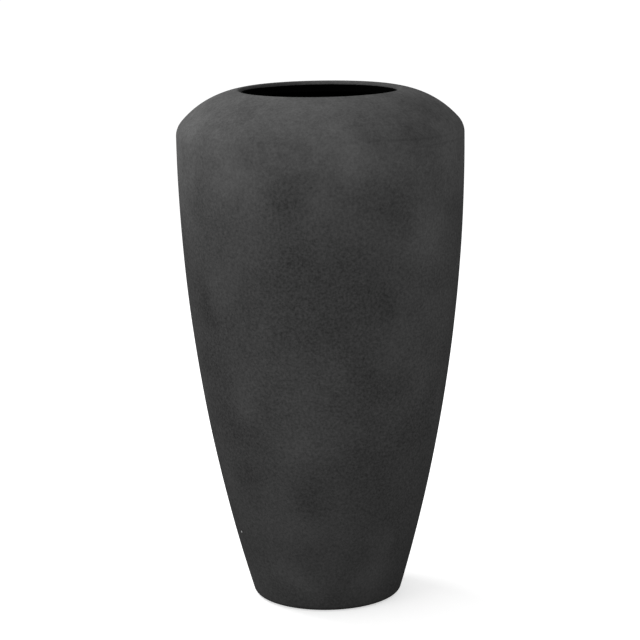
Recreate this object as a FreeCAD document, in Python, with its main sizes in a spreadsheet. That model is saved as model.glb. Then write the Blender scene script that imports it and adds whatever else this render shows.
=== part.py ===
import FreeCAD, Part
import math
import os
import Sketcher

# A tall floor planter laid up in glass-fibre laminate: two mouldings joined at the widest ring.
# Millimetres. +Z is up, and the origin is on the floor at the planter's axis.
# Every moulding is a solid of revolution, so its profile is drawn on the XZ plane, with the
# radius along X and the height along Z.

os.makedirs("parts", exist_ok=True)

# ---------------------------------------------------------------------------------------------
# Driving dimensions
# ---------------------------------------------------------------------------------------------

SIZES = (
    # outside form
    ("height", "1000", "floor to the top of the lip"),
    ("shoulder_height", "86", "widest ring, where the two mouldings part, to the top of the lip"),
    ("belly_radius", "277", "outside, at the widest ring"),
    ("foot_radius", "132.5", "outer edge of the ring that stands on the floor"),
    ("heel_radius", "15", "rounding from the foot to the flank"),
    ("knee_radius", "41", "rounding from the flank to the dome"),
    ("dome_radius", "177", "arc of the domed shoulder"),
    ("mouth_radius", "149", "clear radius of the mouth"),
    ("lip_return", "12", "straight collar that hangs inside the rolled lip"),
    ("lip_edge", "2", "rounded arris at the collar's free edge"),
    # laminate and floor
    ("wall", "6", "laminate thickness, the same all over"),
    ("foot_width", "14", "flat of the standing ring"),
    ("kick_depth", "15", "how far the floor panel is pressed up"),
    ("kick_draft", "20", "degrees, slope of the pressed-up step"),
    ("kick_corner", "2", "inner radius of the laminate round the foot"),
    ("kick_fillet", "6", "radius under the edge of the floor panel"),
    # outer joint
    ("filler_above", "10", "filler groove, above the parting plane"),
    ("filler_below", "3", "filler groove, below the parting plane"),
    ("filler_depth", "2", "filler groove, depth"),
    # inner joint
    ("band_drop", "45", "mat strip, below the parting plane"),
    ("band_past_knee", "18", "mat strip, on to the dome"),
    ("band_thickness", "3", "mat strip"),
    ("band_feather", "8", "how far its edges are feathered"),
    # lip
    ("roving_radius", "4", "glass roving rolled into the lip"),
    # floor reinforcement
    ("ply_thickness", "4", "extra mat on the floor"),
    ("ply_margin", "3", "kept from the edge of the floor panel"),
    ("ply_feather", "55", "degrees, slope of its edge"),
    # drain hole and its bung
    ("drain_radius", "12.5", "drain hole"),
    ("plug_clearance", "0.05", "bung in the drain hole, on the radius"),
    ("plug_taper_length", "9", "bung, tapered nose"),
    ("plug_nose_radius", "10.5", "bung, end of the nose"),
    ("plug_nose_edge", "1.5", "bung, rounded end of the nose"),
    ("flange_radius", "20", "bung, flange"),
    ("flange_thickness", "4", "bung, flange"),
    ("flange_edge", "1.2", "bung, rounded rim of the flange"),
    ("neck_radius", "4.5", "bung, neck of the grip"),
    ("neck_length", "2.5", "bung, neck of the grip"),
    ("grip_radius", "8.5", "bung, grip"),
    ("grip_thickness", "5.5", "bung, grip"),
    ("grip_edge", "2", "bung, rounded rim of the grip"),
)

doc = FreeCAD.newDocument("planter")
sheet = doc.addObject("Spreadsheet::Sheet", "size")
for row, (name, value, note) in enumerate(SIZES, start=1):
    sheet.set("A%d" % row, name)
    sheet.set("B%d" % row, value)
    sheet.set("C%d" % row, note)
    sheet.setAlias("B%d" % row, name)
doc.recompute()


def size(name):
    """A driving dimension as it stands in the sheet."""
    return float(sheet.get(name))


# ---------------------------------------------------------------------------------------------
# Sketching
# ---------------------------------------------------------------------------------------------

ORIGIN = (-1, 1)
START = 1
END = 2
CENTRE = 3


def new_body(name):
    body = doc.addObject("PartDesign::Body", name)
    body.Label = name
    return body


def new_sketch(body, name, role="XZ_Plane"):
    """A sketch on one of the body's own origin planes."""
    sketch = body.newObject("Sketcher::SketchObject", name)
    planes = [f for f in body.Origin.OriginFeatures if f.Role == role]
    sketch.AttachmentSupport = [(planes[0], "")]
    sketch.MapMode = "FlatFace"
    return sketch


def vector(point):
    return FreeCAD.Vector(point[0], point[1], 0)


def add_line(sketch, start, end):
    return (sketch.addGeometry(Part.LineSegment(vector(start), vector(end))), START, END)


def add_arc(sketch, centre, radius, start, end):
    """An arc from one angle to another, in radians. It runs clockwise where end is smaller."""
    circle = Part.Circle(vector(centre), FreeCAD.Vector(0, 0, 1), radius)
    if end > start:
        return (sketch.addGeometry(Part.ArcOfCircle(circle, start, end)), START, END)
    return (sketch.addGeometry(Part.ArcOfCircle(circle, end, start)), END, START)


def close_outline(sketch, pieces, smooth):
    """Joins each piece's end to the next one's start, tangent after the pieces in smooth."""
    for index, piece in enumerate(pieces):
        following = pieces[(index + 1) % len(pieces)]
        kind = "Tangent" if index in smooth else "Coincident"
        sketch.addConstraint(
            Sketcher.Constraint(kind, piece[0], piece[2], following[0], following[1])
        )


def first(piece):
    return (piece[0], piece[1])


def last(piece):
    return (piece[0], piece[2])


def middle(piece):
    return (piece[0], CENTRE)


def places(where):
    """What a constraint takes: a point is its piece and its end, a piece is its number alone."""
    values = []
    for place in where:
        values.extend(place[:2] if len(place) == 2 else place[:1])
    return values


def rule(sketch, kind, *where):
    """A geometric constraint. Each place is a piece or a point of one."""
    return sketch.addConstraint(Sketcher.Constraint(kind, *places(where)))


def measure(sketch, kind, name, where, formula, value):
    """A named dimension, driven by a formula on the sheet."""
    index = sketch.addConstraint(Sketcher.Constraint(kind, *places(where), value))
    sketch.renameConstraint(index, name)
    sketch.setExpression("Constraints." + name, formula)
    return index


def reading(sketch, kind, name, where, value):
    """A named reference dimension: it follows the sketch, and other pieces read it."""
    index = sketch.addConstraint(Sketcher.Constraint(kind, *places(where), value))
    sketch.setDriving(index, False)
    sketch.renameConstraint(index, name)
    return index


def revolve(body, sketch, name):
    turned = body.newObject("PartDesign::Revolution", name)
    turned.Profile = (sketch, [""])
    turned.ReferenceAxis = (sketch, ["V_Axis"])
    turned.Angle = 360
    sketch.Visibility = False
    return turned


def add_circle(sketch, radius):
    circle = Part.Circle(vector((0, 0)), FreeCAD.Vector(0, 0, 1), radius)
    return sketch.addGeometry(circle)


def drain_hole(body, sketch, name):
    """The drain hole, straight through a body whose underside faces down."""
    radius = size("drain_radius")
    add_circle(sketch, radius)
    rule(sketch, "Coincident", (0, CENTRE), ORIGIN)
    measure(sketch, "Radius", "drain_radius", ((0,),), "size.drain_radius", radius)
    solid = body.Shape.Volume
    hole = body.newObject("PartDesign::Pocket", name)
    hole.Profile = (sketch, [""])
    hole.Type = "ThroughAll"
    hole.Reversed = True
    sketch.Visibility = False
    doc.recompute()
    if body.Shape.Volume >= solid:
        raise RuntimeError("%s cuts nothing" % name)


def round_edges(body, base, name, rings, radius_name):
    """Rounds the circular edges given as (radius, height)."""
    doc.recompute()
    names = []
    for number, edge in enumerate(base.Shape.Edges, start=1):
        if not isinstance(edge.Curve, Part.Circle):
            continue
        for radius, height in rings:
            near_radius = abs(edge.Curve.Radius - radius) < 0.01
            near_height = abs(edge.Curve.Center.z - height) < 0.01
            if near_radius and near_height:
                names.append("Edge%d" % number)
    if len(names) != len(rings):
        raise RuntimeError("%s: found %d of %d edges" % (name, len(names), len(rings)))
    rounded = body.newObject("PartDesign::Fillet", name)
    rounded.Base = (base, names)
    rounded.setExpression("Radius", "size." + radius_name)
    return rounded


# ---------------------------------------------------------------------------------------------
# Where the arcs meet. The sketches start from these values, and their constraints hold them.
# ---------------------------------------------------------------------------------------------

height = size("height")
belly_radius = size("belly_radius")
belly_height = height - size("shoulder_height")
belly_level = "size.height - size.shoulder_height"
foot_radius = size("foot_radius")
heel_radius = size("heel_radius")
knee_radius = size("knee_radius")
dome_radius = size("dome_radius")
mouth_radius = size("mouth_radius")
wall = size("wall")
lip_radius = wall + size("roving_radius")

# The flank is upright at the widest ring and touches the heel's arc.
across = belly_radius - foot_radius
rise = belly_height - heel_radius
flank_radius = (across ** 2 + rise ** 2 - heel_radius ** 2) / (2 * (across - heel_radius))
flank_centre = (belly_radius - flank_radius, belly_height)
heel_centre = (foot_radius, heel_radius)
heel_angle = math.atan2(heel_centre[1] - flank_centre[1], heel_centre[0] - flank_centre[0])

# The dome touches the knee's arc below it and the lip's arc above it.
knee_centre = (belly_radius - knee_radius, belly_height)
lip_centre = (mouth_radius + lip_radius, height - lip_radius)
reach_x = lip_centre[0] - knee_centre[0]
reach_z = lip_centre[1] - knee_centre[1]
reach = math.hypot(reach_x, reach_z)
to_knee = dome_radius - knee_radius
to_lip = dome_radius - lip_radius
along = (to_knee ** 2 - to_lip ** 2 + reach ** 2) / (2 * reach)
aside = math.sqrt(to_knee ** 2 - along ** 2)
dome_centre = (
    knee_centre[0] + (reach_x * along + reach_z * -aside) / reach,
    knee_centre[1] + (reach_z * along + reach_x * aside) / reach,
)
knee_angle = math.atan2(knee_centre[1] - dome_centre[1], knee_centre[0] - dome_centre[0])
lip_angle = math.atan2(lip_centre[1] - dome_centre[1], lip_centre[0] - dome_centre[0])


def at(centre, radius, angle):
    return (centre[0] + radius * math.cos(angle), centre[1] + radius * math.sin(angle))


# ---------------------------------------------------------------------------------------------
# Lower moulding
# ---------------------------------------------------------------------------------------------

foot_inner = foot_radius - size("foot_width")
kick_depth = size("kick_depth")
draft = math.radians(size("kick_draft"))
corner = size("kick_corner")
corner_outer = corner + wall
fillet = size("kick_fillet")
corner_centre = (foot_inner, corner_outer)
step_angle = math.pi + draft
step_rise = kick_depth - fillet - corner_outer + (fillet + corner_outer) * math.sin(draft)
panel_edge = (
    foot_inner
    - (fillet + corner_outer) * math.cos(draft)
    - step_rise * math.tan(draft)
)
fillet_centre = (panel_edge, kick_depth - fillet)
groove_low = belly_height - size("filler_below")
groove_low_angle = math.asin((groove_low - belly_height) / flank_radius)
groove_root = (belly_radius - size("filler_depth"), belly_height)
inner_ring = (belly_radius - wall, belly_height)

body_shell = new_body("body_shell")
profile = new_sketch(body_shell, "body_profile")
foot = add_line(profile, (foot_inner, 0), (foot_radius, 0))
heel = add_arc(profile, heel_centre, heel_radius, -math.pi / 2, heel_angle)
flank = add_arc(profile, flank_centre, flank_radius, heel_angle, groove_low_angle)
groove = add_line(profile, at(flank_centre, flank_radius, groove_low_angle), groove_root)
parting = add_line(profile, groove_root, inner_ring)
flank_in = add_arc(profile, flank_centre, flank_radius - wall, 0, heel_angle)
heel_in = add_arc(profile, heel_centre, heel_radius - wall, heel_angle, -math.pi / 2)
channel = add_line(profile, (foot_radius, wall), (foot_inner, wall))
corner_in = add_arc(profile, corner_centre, corner, -math.pi / 2, step_angle - 2 * math.pi)
step_in = add_line(
    profile,
    at(corner_centre, corner, step_angle),
    at(fillet_centre, fillet + wall, draft),
)
fillet_in = add_arc(profile, fillet_centre, fillet + wall, draft, math.pi / 2)
panel_in = add_line(profile, (panel_edge, kick_depth + wall), (0, kick_depth + wall))
axis_edge = add_line(profile, (0, kick_depth + wall), (0, kick_depth))
panel = add_line(profile, (0, kick_depth), (panel_edge, kick_depth))
fillet_out = add_arc(profile, fillet_centre, fillet, math.pi / 2, draft)
step = add_line(
    profile,
    at(fillet_centre, fillet, draft),
    at(corner_centre, corner_outer, step_angle),
)
corner_out = add_arc(profile, corner_centre, corner_outer, step_angle, 1.5 * math.pi)
close_outline(
    profile,
    (
        foot, heel, flank, groove, parting, flank_in, heel_in, channel, corner_in, step_in,
        fillet_in, panel_in, axis_edge, panel, fillet_out, step, corner_out,
    ),
    smooth={0, 1, 5, 6, 7, 8, 9, 10, 13, 14, 15, 16},
)
rule(profile, "PointOnObject", first(foot), (-1,))
rule(profile, "Horizontal", foot)
rule(profile, "Horizontal", parting)
rule(profile, "Horizontal", channel)
rule(profile, "Horizontal", panel)
rule(profile, "Horizontal", panel_in)
rule(profile, "PointOnObject", first(axis_edge), (-2,))
rule(profile, "PointOnObject", last(axis_edge), (-2,))
rule(profile, "Coincident", middle(flank_in), middle(flank))
rule(profile, "Coincident", middle(heel_in), middle(heel))
rule(profile, "Coincident", middle(corner_in), middle(corner_out))
rule(profile, "Coincident", middle(fillet_in), middle(fillet_out))
rule(profile, "Horizontal", middle(flank), last(parting))
measure(profile, "DistanceX", "foot_radius", (ORIGIN, last(foot)), "size.foot_radius", foot_radius)
measure(profile, "DistanceX", "foot_width", (first(foot), last(foot)), "size.foot_width",
        size("foot_width"))
measure(profile, "Radius", "heel_radius", (heel,), "size.heel_radius", heel_radius)
measure(profile, "DistanceY", "belly_height", (ORIGIN, last(parting)), belly_level, belly_height)
measure(profile, "DistanceX", "inner_belly", (ORIGIN, last(parting)),
        "size.belly_radius - size.wall", belly_radius - wall)
measure(profile, "DistanceY", "wall", (ORIGIN, first(channel)), "size.wall", wall)
measure(profile, "DistanceX", "groove_root", (last(parting), first(parting)),
        "size.wall - size.filler_depth", wall - size("filler_depth"))
measure(profile, "DistanceY", "filler_below", (first(groove), first(parting)),
        "size.filler_below", size("filler_below"))
measure(profile, "Radius", "kick_corner", (corner_in,), "size.kick_corner", corner)
measure(profile, "Radius", "kick_fillet", (fillet_out,), "size.kick_fillet", fillet)
measure(profile, "DistanceY", "kick_depth", (ORIGIN, last(axis_edge)), "size.kick_depth",
        kick_depth)
measure(profile, "DistanceY", "panel_thickness", (last(axis_edge), first(axis_edge)),
        "size.wall", wall)
measure(profile, "Angle", "kick_draft", (axis_edge, step), "size.kick_draft", draft)
reading(profile, "Radius", "flank_radius", (flank,), flank_radius)
reading(profile, "DistanceX", "panel_edge", (ORIGIN, last(panel)), panel_edge)
revolve(body_shell, profile, "lower_laminate")
doc.recompute()
drain = new_sketch(body_shell, "drain_circle", "XY_Plane")
drain_hole(body_shell, drain, "drain_hole")

# ---------------------------------------------------------------------------------------------
# Upper moulding
# ---------------------------------------------------------------------------------------------

groove_high_angle = math.asin(size("filler_above") / knee_radius)
collar_end = height - lip_radius - size("lip_return")

shoulder_shell = new_body("shoulder_shell")
profile = new_sketch(shoulder_shell, "shoulder_profile")
parting = add_line(profile, inner_ring, groove_root)
groove = add_line(profile, groove_root, at(knee_centre, knee_radius, groove_high_angle))
knee = add_arc(profile, knee_centre, knee_radius, groove_high_angle, knee_angle)
dome = add_arc(profile, dome_centre, dome_radius, knee_angle, lip_angle)
lip = add_arc(profile, lip_centre, lip_radius, lip_angle, math.pi)
collar = add_line(profile, (mouth_radius, lip_centre[1]), (mouth_radius, collar_end))
collar_edge = add_line(profile, (mouth_radius, collar_end), (mouth_radius + wall, collar_end))
collar_back = add_line(
    profile,
    (mouth_radius + wall, collar_end),
    (mouth_radius + wall, lip_centre[1]),
)
lip_in = add_arc(profile, lip_centre, lip_radius - wall, math.pi, lip_angle)
dome_in = add_arc(profile, dome_centre, dome_radius - wall, lip_angle, knee_angle)
knee_in = add_arc(profile, knee_centre, knee_radius - wall, knee_angle, 0)
close_outline(
    profile,
    (
        parting, groove, knee, dome, lip, collar, collar_edge, collar_back, lip_in, dome_in,
        knee_in,
    ),
    smooth={2, 3, 4, 7, 8, 9},
)
rule(profile, "Horizontal", parting)
rule(profile, "Vertical", collar)
rule(profile, "Horizontal", collar_edge)
rule(profile, "Vertical", collar_back)
rule(profile, "Coincident", middle(knee_in), middle(knee))
rule(profile, "Coincident", middle(dome_in), middle(dome))
rule(profile, "Coincident", middle(lip_in), middle(lip))
rule(profile, "Horizontal", middle(knee), first(parting))
measure(profile, "DistanceY", "belly_height", (ORIGIN, first(parting)), belly_level, belly_height)
measure(profile, "DistanceX", "inner_belly", (ORIGIN, first(parting)),
        "size.belly_radius - size.wall", belly_radius - wall)
measure(profile, "DistanceX", "groove_root", (first(parting), last(parting)),
        "size.wall - size.filler_depth", wall - size("filler_depth"))
measure(profile, "DistanceY", "filler_above", (last(parting), last(groove)),
        "size.filler_above", size("filler_above"))
measure(profile, "Radius", "knee_radius", (knee,), "size.knee_radius", knee_radius)
measure(profile, "Radius", "dome_radius", (dome,), "size.dome_radius", dome_radius)
measure(profile, "Radius", "roving_radius", (lip_in,), "size.roving_radius", lip_radius - wall)
measure(profile, "DistanceX", "wall", (first(collar_edge), last(collar_edge)), "size.wall", wall)
measure(profile, "DistanceX", "mouth_radius", (ORIGIN, last(collar)), "size.mouth_radius",
        mouth_radius)
measure(profile, "DistanceY", "lip_height", (ORIGIN, middle(lip)),
        "size.height - size.wall - size.roving_radius", lip_centre[1])
measure(profile, "DistanceY", "lip_return", (last(collar), first(collar)), "size.lip_return",
        size("lip_return"))
reading(profile, "DistanceY", "dome_height", (ORIGIN, middle(dome)), dome_centre[1])
upper = revolve(shoulder_shell, profile, "upper_laminate")
round_edges(
    shoulder_shell,
    upper,
    "collar_arris",
    ((mouth_radius, collar_end),),
    "lip_edge",
)

# ---------------------------------------------------------------------------------------------
# Filler in the groove of the joint, rubbed flush with both mouldings
# ---------------------------------------------------------------------------------------------

joint_filler = new_body("joint_filler")
profile = new_sketch(joint_filler, "filler_profile")
flank = add_arc(profile, flank_centre, flank_radius, groove_low_angle, 0)
knee = add_arc(profile, knee_centre, knee_radius, 0, groove_high_angle)
upper_side = add_line(profile, at(knee_centre, knee_radius, groove_high_angle), groove_root)
lower_side = add_line(profile, groove_root, at(flank_centre, flank_radius, groove_low_angle))
close_outline(profile, (flank, knee, upper_side, lower_side), smooth={0})
rule(profile, "Horizontal", middle(flank), last(flank))
rule(profile, "Horizontal", last(upper_side), last(flank))
measure(profile, "Radius", "flank_radius", (flank,), "body_profile.Constraints.flank_radius",
        flank_radius)
measure(profile, "Radius", "knee_radius", (knee,), "size.knee_radius", knee_radius)
measure(profile, "DistanceX", "belly_radius", (ORIGIN, last(flank)), "size.belly_radius",
        belly_radius)
measure(profile, "DistanceY", "belly_height", (ORIGIN, last(flank)), belly_level, belly_height)
measure(profile, "DistanceX", "filler_depth", (last(upper_side), last(flank)),
        "size.filler_depth", size("filler_depth"))
measure(profile, "DistanceY", "filler_below", (first(flank), last(flank)), "size.filler_below",
        size("filler_below"))
measure(profile, "DistanceY", "filler_above", (first(knee), last(knee)), "size.filler_above",
        size("filler_above"))
revolve(joint_filler, profile, "filler_ring")

# ---------------------------------------------------------------------------------------------
# Mat strip over the joint, inside: it follows the flank, the knee and the start of the dome
# ---------------------------------------------------------------------------------------------

thickness = size("band_thickness")
flank_seat = flank_radius - wall
knee_seat = knee_radius - wall
dome_seat = dome_radius - wall
drop = size("band_drop")
feather = size("band_feather")
past_knee = size("band_past_knee")
drop_angle = -math.asin(drop / flank_seat)
drop_face_angle = -math.asin((drop - feather) / (flank_seat - thickness))
end_angle = knee_angle + 2 * math.asin(past_knee / (2 * dome_seat))
end_face_angle = knee_angle + 2 * math.asin((past_knee - feather) / (2 * (dome_seat - thickness)))

joint_band = new_body("joint_band")
profile = new_sketch(joint_band, "band_profile")
flank = add_arc(profile, flank_centre, flank_seat, drop_angle, 0)
knee = add_arc(profile, knee_centre, knee_seat, 0, knee_angle)
dome = add_arc(profile, dome_centre, dome_seat, knee_angle, end_angle)
upper_edge = add_line(
    profile,
    at(dome_centre, dome_seat, end_angle),
    at(dome_centre, dome_seat - thickness, end_face_angle),
)
dome_face = add_arc(profile, dome_centre, dome_seat - thickness, end_face_angle, knee_angle)
knee_face = add_arc(profile, knee_centre, knee_seat - thickness, knee_angle, 0)
flank_face = add_arc(profile, flank_centre, flank_seat - thickness, 0, drop_face_angle)
lower_edge = add_line(
    profile,
    at(flank_centre, flank_seat - thickness, drop_face_angle),
    at(flank_centre, flank_seat, drop_angle),
)
close_outline(
    profile,
    (flank, knee, dome, upper_edge, dome_face, knee_face, flank_face, lower_edge),
    smooth={0, 1, 4, 5},
)
rule(profile, "Coincident", middle(flank_face), middle(flank))
rule(profile, "Coincident", middle(knee_face), middle(knee))
rule(profile, "Coincident", middle(dome_face), middle(dome))
rule(profile, "Horizontal", middle(flank), last(flank))
measure(profile, "DistanceX", "inner_belly", (ORIGIN, last(flank)),
        "size.belly_radius - size.wall", belly_radius - wall)
measure(profile, "DistanceY", "belly_height", (ORIGIN, last(flank)), belly_level, belly_height)
measure(profile, "Radius", "flank_seat", (flank,),
        "body_profile.Constraints.flank_radius - size.wall * 1 mm", flank_seat)
measure(profile, "Radius", "knee_seat", (knee,), "size.knee_radius - size.wall", knee_seat)
measure(profile, "Radius", "dome_seat", (dome,), "size.dome_radius - size.wall", dome_seat)
measure(profile, "DistanceY", "dome_height", (ORIGIN, middle(dome)),
        "shoulder_profile.Constraints.dome_height", dome_centre[1])
measure(profile, "DistanceX", "band_thickness", (first(flank_face), last(flank)),
        "size.band_thickness", thickness)
measure(profile, "DistanceY", "band_drop", (first(flank), last(flank)), "size.band_drop", drop)
measure(profile, "DistanceY", "drop_to_feather", (last(flank_face), first(flank_face)),
        "size.band_drop - size.band_feather", drop - feather)
measure(profile, "Distance", "band_past_knee", (first(dome), last(dome)),
        "size.band_past_knee", past_knee)
measure(profile, "Distance", "past_knee_to_feather", (last(dome_face), first(dome_face)),
        "size.band_past_knee - size.band_feather", past_knee - feather)
revolve(joint_band, profile, "mat_strip")

# ---------------------------------------------------------------------------------------------
# Roving rolled into the lip
# ---------------------------------------------------------------------------------------------

lip_stiffener = doc.addObject("Part::Torus", "lip_stiffener")
lip_stiffener.Label = "lip_stiffener"
lip_stiffener.setExpression("Radius1", "size.mouth_radius + size.wall + size.roving_radius")
lip_stiffener.setExpression("Radius2", "size.roving_radius")
lip_stiffener.setExpression("Placement.Base.z", "size.height - size.wall - size.roving_radius")

# ---------------------------------------------------------------------------------------------
# Extra mat on the floor, round the drain hole, with a feathered edge
# ---------------------------------------------------------------------------------------------

ply_radius = panel_edge - size("ply_margin")

base_reinforcement = new_body("base_reinforcement")
base_reinforcement.setExpression("Placement.Base.z", "size.kick_depth + size.wall")
disc = new_sketch(base_reinforcement, "ply_circle", "XY_Plane")
add_circle(disc, ply_radius)
rule(disc, "Coincident", (0, CENTRE), ORIGIN)
measure(disc, "Radius", "ply_radius", ((0,),),
        "body_profile.Constraints.panel_edge - size.ply_margin * 1 mm", ply_radius)
ply = base_reinforcement.newObject("PartDesign::Pad", "ply")
ply.Profile = (disc, [""])
ply.setExpression("Length", "size.ply_thickness")
ply.setExpression("TaperAngle", "-size.ply_feather")
disc.Visibility = False
doc.recompute()
drain = new_sketch(base_reinforcement, "ply_drain_circle", "XY_Plane")
drain_hole(base_reinforcement, drain, "ply_drain_hole")

# ---------------------------------------------------------------------------------------------
# Rubber bung: its flange seats flat under the floor panel, and its grip hangs clear of the floor
# ---------------------------------------------------------------------------------------------

shank_radius = size("drain_radius") - size("plug_clearance")
nose_radius = size("plug_nose_radius")
nose_end = wall + size("plug_taper_length")
flange_radius = size("flange_radius")
flange_under = -size("flange_thickness")
neck_radius = size("neck_radius")
grip_radius = size("grip_radius")
grip_top = flange_under - size("neck_length")
grip_under = grip_top - size("grip_thickness")

drain_plug = new_body("drain_plug")
drain_plug.setExpression("Placement.Base.z", "size.kick_depth")
profile = new_sketch(drain_plug, "plug_profile")
axis_edge = add_line(profile, (0, grip_under), (0, nose_end))
nose = add_line(profile, (0, nose_end), (nose_radius, nose_end))
taper = add_line(profile, (nose_radius, nose_end), (shank_radius, wall))
shank = add_line(profile, (shank_radius, wall), (shank_radius, 0))
seat = add_line(profile, (shank_radius, 0), (flange_radius, 0))
rim = add_line(profile, (flange_radius, 0), (flange_radius, flange_under))
under = add_line(profile, (flange_radius, flange_under), (neck_radius, flange_under))
neck = add_line(profile, (neck_radius, flange_under), (neck_radius, grip_top))
grip_shoulder = add_line(profile, (neck_radius, grip_top), (grip_radius, grip_top))
grip_rim = add_line(profile, (grip_radius, grip_top), (grip_radius, grip_under))
grip_base = add_line(profile, (grip_radius, grip_under), (0, grip_under))
close_outline(
    profile,
    (
        axis_edge, nose, taper, shank, seat, rim, under, neck, grip_shoulder, grip_rim,
        grip_base,
    ),
    smooth=set(),
)
for level in (nose, seat, under, grip_shoulder, grip_base):
    rule(profile, "Horizontal", level)
for upright in (shank, rim, neck, grip_rim):
    rule(profile, "Vertical", upright)
rule(profile, "PointOnObject", first(axis_edge), (-2,))
rule(profile, "PointOnObject", last(axis_edge), (-2,))
rule(profile, "PointOnObject", first(seat), (-1,))
measure(profile, "DistanceX", "nose_radius", (ORIGIN, last(nose)), "size.plug_nose_radius",
        nose_radius)
measure(profile, "DistanceX", "shank_radius", (ORIGIN, last(shank)),
        "size.drain_radius - size.plug_clearance", shank_radius)
measure(profile, "DistanceX", "flange_radius", (ORIGIN, last(seat)), "size.flange_radius",
        flange_radius)
measure(profile, "DistanceX", "neck_radius", (ORIGIN, last(under)), "size.neck_radius",
        neck_radius)
measure(profile, "DistanceX", "grip_radius", (ORIGIN, last(grip_shoulder)), "size.grip_radius",
        grip_radius)
measure(profile, "DistanceY", "shank_length", (last(shank), first(shank)), "size.wall", wall)
measure(profile, "DistanceY", "taper_length", (last(taper), first(taper)),
        "size.plug_taper_length", size("plug_taper_length"))
measure(profile, "DistanceY", "flange_thickness", (last(rim), first(rim)),
        "size.flange_thickness", size("flange_thickness"))
measure(profile, "DistanceY", "neck_length", (last(neck), first(neck)), "size.neck_length",
        size("neck_length"))
measure(profile, "DistanceY", "grip_thickness", (last(grip_rim), first(grip_rim)),
        "size.grip_thickness", size("grip_thickness"))
bung = revolve(drain_plug, profile, "bung")
nose_round = round_edges(
    drain_plug,
    bung,
    "nose_round",
    ((nose_radius, nose_end),),
    "plug_nose_edge",
)
flange_round = round_edges(
    drain_plug,
    nose_round,
    "flange_round",
    ((flange_radius, 0), (flange_radius, flange_under)),
    "flange_edge",
)
round_edges(
    drain_plug,
    flange_round,
    "grip_round",
    ((grip_radius, grip_top), (grip_radius, grip_under)),
    "grip_edge",
)

# ---------------------------------------------------------------------------------------------
# Checks, then one file for each piece
# ---------------------------------------------------------------------------------------------

PIECES = (
    body_shell,
    shoulder_shell,
    joint_filler,
    joint_band,
    lip_stiffener,
    base_reinforcement,
    drain_plug,
)

doc.recompute()
for item in doc.Objects:
    if "Invalid" in item.State or "Error" in item.State:
        raise RuntimeError("%s failed: %s" % (item.Name, item.State))
    if item.TypeId == "Sketcher::SketchObject" and not item.FullyConstrained:
        raise RuntimeError("%s still has freedom" % item.Name)
for piece in PIECES:
    if piece.Shape.isNull() or not piece.Shape.isValid() or len(piece.Shape.Solids) != 1:
        raise RuntimeError("%s isn't one valid solid" % piece.Label)
for piece in PIECES:
    piece.Shape.exportStep("parts/%s.step" % piece.Label)
    print("%-20s %10.1f cm3" % (piece.Label, piece.Shape.Volume / 1000))
print("kick-up, panel edge radius %.2f" % panel_edge)
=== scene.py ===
import bpy
import math
from collections import namedtuple
from mathutils import Matrix, Vector


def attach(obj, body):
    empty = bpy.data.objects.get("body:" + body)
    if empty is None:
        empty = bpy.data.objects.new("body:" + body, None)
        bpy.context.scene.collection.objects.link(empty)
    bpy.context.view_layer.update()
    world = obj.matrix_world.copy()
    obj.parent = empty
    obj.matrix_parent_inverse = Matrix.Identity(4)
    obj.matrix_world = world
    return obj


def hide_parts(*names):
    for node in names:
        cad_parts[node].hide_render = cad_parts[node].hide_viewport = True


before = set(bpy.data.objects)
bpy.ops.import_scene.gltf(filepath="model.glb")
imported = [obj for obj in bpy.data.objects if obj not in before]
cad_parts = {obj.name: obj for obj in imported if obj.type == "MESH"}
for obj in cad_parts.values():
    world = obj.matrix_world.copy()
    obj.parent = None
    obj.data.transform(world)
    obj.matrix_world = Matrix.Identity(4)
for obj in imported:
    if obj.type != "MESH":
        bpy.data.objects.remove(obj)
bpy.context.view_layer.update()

# ============================================================
# Sizes of the planter, in metres, as the part has them
# ============================================================

HEIGHT = 1.000
SHOULDER_HEIGHT = 0.086
BELLY_RADIUS = 0.277
FOOT_RADIUS = 0.1325
HEEL_RADIUS = 0.015
KNEE_RADIUS = 0.041
DOME_RADIUS = 0.177
MOUTH_RADIUS = 0.149
LIP_RETURN = 0.012
LIP_EDGE = 0.002
WALL = 0.006
FOOT_WIDTH = 0.014
KICK_DEPTH = 0.015
KICK_DRAFT = math.radians(20)
KICK_CORNER = 0.002
KICK_FILLET = 0.006
FILLER_ABOVE = 0.010
FILLER_BELOW = 0.003
FILLER_DEPTH = 0.002
BAND_DROP = 0.045
BAND_PAST_KNEE = 0.018
BAND_THICKNESS = 0.003
BAND_FEATHER = 0.008
ROVING_RADIUS = 0.004
PLY_THICKNESS = 0.004
PLY_MARGIN = 0.003
PLY_FEATHER = math.radians(55)
DRAIN_RADIUS = 0.0125
PLUG_CLEARANCE = 0.00005
PLUG_TAPER_LENGTH = 0.009
PLUG_NOSE_RADIUS = 0.0105
FLANGE_RADIUS = 0.020
FLANGE_THICKNESS = 0.004
NECK_RADIUS = 0.0045
NECK_LENGTH = 0.0025
GRIP_RADIUS = 0.0085
GRIP_THICKNESS = 0.0055

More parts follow.
